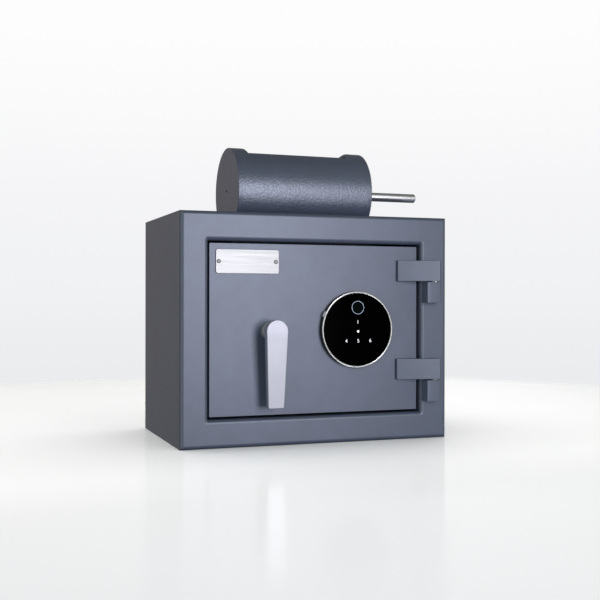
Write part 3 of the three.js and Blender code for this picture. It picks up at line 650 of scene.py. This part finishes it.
# ------------------------------------------------------------------ floor, backdrop light, camera
def floor():
    me = bpy.data.meshes.new("floor")
    n, r = 128, 0.98
    me.from_pydata([(0, 0, 0)] + [(r * math.cos(2 * math.pi * k / n), r * math.sin(2 * math.pi * k / n), 0) for k in range(n)],
                   [], [[0, 1 + k, 1 + (k + 1) % n] for k in range(n)])
    ob = link("floor", me)
    ob.location.z = -0.0002
    m = Mat("floor_white")
    sep = m.nt.nodes.new("ShaderNodeSeparateXYZ")
    m.link(m.co, sep.inputs[0])
    grain = m.noise(6.0, 2.0)
    # painted shade: the floor's colour darkens from the back towards the front, standing in for the fall-off of the
    # light over the floor
    depth = m.span(sep.outputs["Y"], 0.0, 1.0, -0.7, 0.7)
    m.link(m.ramp(depth, [(0.0, (0.655, 0.66, 0.68, 1)), (0.15, (0.725, 0.73, 0.75, 1)), (0.24, (0.765, 0.77, 0.785, 1)), (0.33, (0.865, 0.87, 0.88, 1)), (1.0, (0.93, 0.93, 0.945, 1))]), m.b.inputs["Base Color"])
    m.link(m.span(grain, 0.10, 0.13), m.b.inputs["Roughness"])
    m.set(Specular_IOR_Level=0.05)
    # the rim fades into the backdrop
    length = m.nt.nodes.new("ShaderNodeVectorMath")
    length.operation = "LENGTH"
    m.link(m.co, length.inputs[0])
    fade = m.span(length.outputs["Value"], 0.0, 1.0, 0.80, 0.93)
    clear = m.nt.nodes.new("ShaderNodeBsdfTransparent")
    mix = m.nt.nodes.new("ShaderNodeMixShader")
    out = next(n for n in m.nt.nodes if n.type == "OUTPUT_MATERIAL")
    m.link(fade, mix.inputs["Fac"])
    m.link(m.b.outputs[0], mix.inputs[1])
    m.link(clear.outputs[0], mix.inputs[2])
    m.link(mix.outputs[0], out.inputs["Surface"])
    me.materials.append(m.m)
    ob.visible_diffuse = False
    ob.visible_glossy = False
    ob.visible_shadow = False
    return ob


floor_ob = floor()
floor_only = bpy.data.collections.new("floor_only")
floor_only.objects.link(floor_ob)


def area(name, at, to, size, power, colour=(1, 1, 1), glossy=True, only=None):
    li = bpy.data.lights.new(name, "AREA")
    li.shape = "RECTANGLE"
    li.size, li.size_y = size
    li.energy = power
    li.color = colour
    ob = bpy.data.objects.new(name, li)
    scene.collection.objects.link(ob)
    ob.location = at
    ob.rotation_euler = (Vector(to) - Vector(at)).to_track_quat("-Z", "Y").to_euler()
    ob.visible_camera = False
    ob.visible_glossy = glossy
    if only:
        ob.light_linking.receiver_collection = only
    return ob


area("softbox", (0.305, -1.6, 0.35), (0.0, -0.1, 0.15), (0.50, 0.88), 7.55, (1.0, 0.985, 0.99))
area("floor_wash", (0.0, -0.75, 1.3), (0.0, -0.3, 0.0), (3.0, 2.6), 28.9, only=floor_only)
area("floor_wash_far", (-0.35, 0.8, 1.1), (-0.35, 0.7, 0.0), (3.0, 1.6), 27.5, only=floor_only)

hopper_only = bpy.data.collections.new("hopper_only")
hopper_only.objects.link(tube)
area("hopper_fill", (0.45, -1.28, -0.33), (0.0, 0.0, 0.29), (0.40, 0.40), 1.05, (1.0, 0.985, 0.99), only=hopper_only)
rod_only = bpy.data.collections.new("rod_only")
rod_only.objects.link(bpy.data.objects["rod_polished"])
area("rod_strip", (0.55, -1.10, 0.55), (0.12, 0.0, 0.29), (0.12, 1.5), 1.6, (1.0, 0.99, 1.0), only=rod_only)

ring_only = bpy.data.collections.new("ring_only")
ring_only.objects.link(bezel)
area("ring_top", (-0.30, -0.60, 1.00), (0.047, -0.1, 0.13), (0.5, 0.3), 11.0, (1.0, 0.99, 1.0), only=ring_only)
area("ring_low", (0.05, -0.70, -0.60), (0.047, -0.1, 0.13), (0.5, 0.3), 3.6, (1.0, 0.99, 1.0), only=ring_only)

world = bpy.data.worlds.new("studio")
scene.world = world
world.use_nodes = True
nt = world.node_tree
nt.nodes.clear()


def node(kind, **inputs):
    n = nt.nodes.new(kind)
    for k, v in inputs.items():
        n.inputs[k.replace("_", " ")].default_value = v
    return n


def world_ramp(fac, stops):
    n = node("ShaderNodeValToRGB")
    el = n.color_ramp.elements
    while len(el) < len(stops):
        el.new(0.5)
    for e, (pos, col) in zip(el, stops):
        e.position, e.color = pos, (*col[:3], 1)
    nt.links.new(fac, n.inputs["Fac"])
    return n.outputs["Color"]


direction = node("ShaderNodeTexCoord").outputs["Generated"]
sep = node("ShaderNodeSeparateXYZ")
nt.links.new(direction, sep.inputs[0])
height = node("ShaderNodeMapRange", From_Min=-1.0, From_Max=1.0)
nt.links.new(sep.outputs["Z"], height.inputs["Value"])
# what the camera sees: a pale sweep, a little darker towards the floor's far edge
seen = node("ShaderNodeBackground")
nt.links.new(world_ramp(height.outputs["Result"], [
    (0.0, srgb(236, 237, 240)), (0.462, srgb(234, 236, 238)), (0.482, srgb(237, 238, 240)), (0.5, srgb(240, 241, 243)),
    (0.549, srgb(244, 244, 246)), (0.585, srgb(249, 249, 250)), (0.63, srgb(253, 253, 253)), (1.0, srgb(253, 253, 253))]), seen.inputs["Color"])
# what lights the object: an even dim level and soft patches of light round it
def math_node(op, a, b=None):
    n = nt.nodes.new("ShaderNodeMath")
    n.operation = op
    for i, v in enumerate((a, b)):
        if v is None:
            continue
        if isinstance(v, (int, float)):
            n.inputs[i].default_value = v
        else:
            nt.links.new(v, n.inputs[i])
    return n.outputs[0]


# direction, sharpness, colour
LEVEL = (0.002, 0.002, 0.002)
PATCHES = [
    ((-0.85, -0.50, 0.10), 4.0, (0.692, 0.724, 0.596)),
    ((0.95, -0.10, 0.10), 5.0, (0.578, 0.600, 0.459)),
    ((0.20, -0.55, 0.80), 7.0, (0.112, 0.130, 0.124)),
    ((0.10, 0.60, 0.80), 5.0, (0.129, 0.124, 0.115)),
    ((0.20, -0.60, -0.75), 5.0, (0.160, 0.173, 0.238)),
    ((-0.35, 0.93, 0.05), 9.0, (0.370, 0.334, 0.319)),
    ((0.50, 0.85, 0.15), 18.0, (0.537, 0.542, 0.546)),
]
total = node("ShaderNodeRGB").outputs[0]
total.default_value = (*LEVEL, 1)
for axis, sharp, colour in PATCHES:
    dot = node("ShaderNodeVectorMath")
    dot.operation = "DOT_PRODUCT"
    nt.links.new(direction, dot.inputs[0])
    dot.inputs[1].default_value = Vector(axis).normalized()
    lobe = math_node("EXPONENT", math_node("MULTIPLY", math_node("SUBTRACT", dot.outputs["Value"], 1.0), sharp))
    add = node("ShaderNodeMixRGB")
    add.blend_type = "ADD"
    nt.links.new(lobe, add.inputs["Fac"])
    nt.links.new(total, add.inputs["Color1"])
    add.inputs["Color2"].default_value = (*colour, 1)
    total = add.outputs["Color"]
glow = node("ShaderNodeBackground", Strength=1.0)
nt.links.new(total, glow.inputs["Color"])
mix = node("ShaderNodeMixShader")
nt.links.new(node("ShaderNodeLightPath").outputs["Is Camera Ray"], mix.inputs["Fac"])
nt.links.new(glow.outputs[0], mix.inputs[1])
nt.links.new(seen.outputs[0], mix.inputs[2])
nt.links.new(mix.outputs[0], node("ShaderNodeOutputWorld").inputs["Surface"])

cam_data = bpy.data.cameras.new("camera")
cam = bpy.data.objects.new("camera", cam_data)
scene.collection.objects.link(cam)
cam_data.sensor_fit = "HORIZONTAL"
cam_data.sensor_width = 36.0
cam_data.lens = 980.9 * 36.0 / 600.0
cam_data.clip_start, cam_data.clip_end = 0.05, 40.0
cam_data.dof.use_dof = False
yaw, pitch, roll = math.radians(19.867), math.radians(-0.164), math.radians(0.10)
look = Vector((math.sin(yaw) * math.cos(pitch), math.cos(yaw) * math.cos(pitch), math.sin(pitch)))
cam.location = P(-237.62, -1037.54, 165.84)
cam.rotation_mode = "QUATERNION"
cam.rotation_quaternion = look.to_track_quat("-Z", "Y") @ Quaternion((0, 0, 1), roll)
scene.camera = cam

scene.view_settings.view_transform = "Standard"
scene.view_settings.look = "None"
scene.view_settings.exposure = 0.0
scene.view_settings.gamma = 1.0
